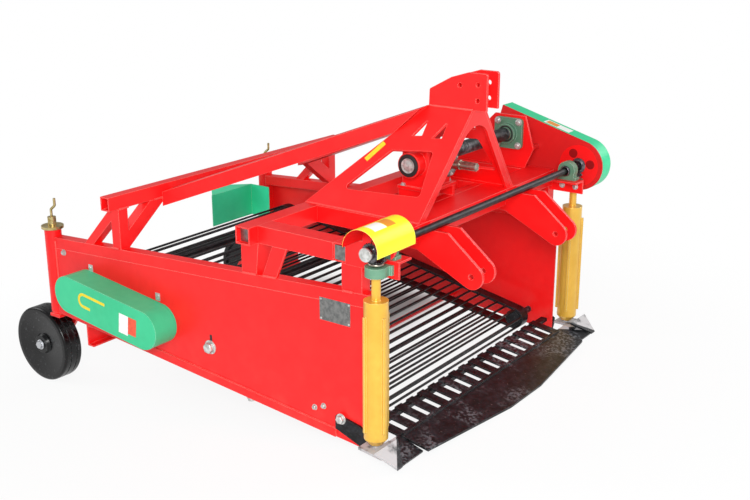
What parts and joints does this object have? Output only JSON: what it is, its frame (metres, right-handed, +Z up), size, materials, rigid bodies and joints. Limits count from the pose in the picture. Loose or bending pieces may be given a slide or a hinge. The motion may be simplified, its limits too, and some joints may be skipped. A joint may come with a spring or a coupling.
{
  "type": "potato digger",
  "caption": "Tractor-mounted potato digger: a share lifts the ridge, a sloping rod web sifts it between side panels, and two upright rollers turn the haulm in.",
  "frame": {"origin": "under the middle of the machine's overall length and width, on the ground it stands on, parked nose down on its share and its two wheels", "axes": "+X to the machine's left, -Y forward to the tractor, +Z up; the machine is pitched nose down by 5.9 degrees about X, so its posts and rollers lean forward by that much at the foot"},
  "size_m": [1.775, 2.418, 1.3458],
  "materials": {
    "red_paint": "gloss",
    "green_paint": "satin",
    "yellow_paint": "gloss",
    "gold_paint": "satin",
    "bearing_green": "satin",
    "black_paint": "satin",
    "dark_steel": "satin",
    "bright_steel": "satin",
    "black_wheel": "satin"
  },
  "bodies": {
    "frame": {"beam_stands": "red_paint", "bevel_guard": "yellow_paint", "chain_case_cover": "green_paint", "chain_case_plate": "red_paint", "finger_grid": "black_paint", "frame_cross_tubes": "red_paint", "frame_legs": "red_paint", "frame_side_tubes": "red_paint", "gearbox": "red_paint", "gearbox_bearers": "red_paint", "guard_plate": "red_paint", "height_cranks": "bright_steel", "left_side_panel": "red_paint", "link_lugs": "red_paint", "lower_cross_members": "red_paint", "mast_braces": "red_paint", "mast_front_plate": "red_paint", "mast_head": "red_paint", "mast_side_plates": "red_paint", "rear_beam": "red_paint", "rear_deflector": "green_paint", "right_side_panel": "red_paint", "rod_web": "black_paint", "roller_bearings": "bearing_green", "roller_brackets": "red_paint", "shaft_bearings": "bearing_green", "share": "black_paint", "share_side_plates": "black_paint", "share_wings": "black_paint", "side_shaft_bearing": "bearing_green", "side_shaft_bracket": "red_paint", "top_rails": "red_paint", "web_drive_guard": "green_paint", "web_idlers": "black_paint", "web_shafts": "black_paint", "wheel_posts": "red_paint"},
    "pto_shaft": {"pto_shaft": "bright_steel"},
    "side_shaft": {"side_shaft": "dark_steel"},
    "cross_shaft": {"drive_shaft": "black_paint", "drive_gears": "dark_steel"},
    "left_roller": {"left_roller": "gold_paint", "left_roller_gear": "dark_steel"},
    "right_roller": {"right_roller": "gold_paint", "right_roller_gear": "dark_steel"},
    "left_wheel_leg": {"left_wheel_leg": "red_paint"},
    "right_wheel_leg": {"right_wheel_leg": "red_paint"},
    "left_wheel": {"left_wheel": "black_wheel"},
    "right_wheel": {"right_wheel": "black_wheel"}
  },
  "joints": [
    {"name": "pto_turn", "type": "hinge", "parent": "frame", "child": "pto_shaft", "pos_m": [-0.0225, -0.97315, 0.96058], "axis": [0, -0.9948, -0.1022], "continuous": true},
    {"name": "side_shaft_turn", "type": "hinge", "parent": "frame", "child": "side_shaft", "pos_m": [-0.0225, -0.7354, 0.98501], "axis": [1, 0, 0], "continuous": true},
    {"name": "cross_shaft_turn", "type": "hinge", "parent": "frame", "child": "cross_shaft", "pos_m": [-0.0225, -1.01962, 0.81607], "axis": [1, 0, 0], "continuous": true},
    {"name": "left_roller_turn", "type": "hinge", "parent": "frame", "child": "left_roller", "pos_m": [0.7535, -0.94358, 0.07597], "axis": [0, -0.1022, 0.9948], "continuous": true},
    {"name": "right_roller_turn", "type": "hinge", "parent": "frame", "child": "right_roller", "pos_m": [-0.7985, -0.94358, 0.07597], "axis": [0, -0.1022, 0.9948], "continuous": true},
    {"name": "left_leg_slide", "type": "slide", "parent": "frame", "child": "left_wheel_leg", "axis": [0, -0.1022, 0.9948], "range_m": [-0.12, 0.006]},
    {"name": "left_wheel_turn", "type": "hinge", "parent": "left_wheel_leg", "child": "left_wheel", "pos_m": [0.6425, 1.02801, 0.181], "axis": [1, 0, 0], "continuous": true},
    {"name": "right_leg_slide", "type": "slide", "parent": "frame", "child": "right_wheel_leg", "axis": [0, -0.1022, 0.9948], "range_m": [-0.12, 0.006]},
    {"name": "right_wheel_turn", "type": "hinge", "parent": "right_wheel_leg", "child": "right_wheel", "pos_m": [-0.6875, 1.02801, 0.181], "axis": [1, 0, 0], "continuous": true}
  ],
  "couplings": [
    {"joint": "side_shaft_turn", "follows": "pto_turn", "ratio": -1},
    {"joint": "cross_shaft_turn", "follows": "pto_turn", "ratio": -1},
    {"joint": "left_roller_turn", "follows": "pto_turn", "ratio": -1},
    {"joint": "right_roller_turn", "follows": "pto_turn", "ratio": 1}
  ]
}
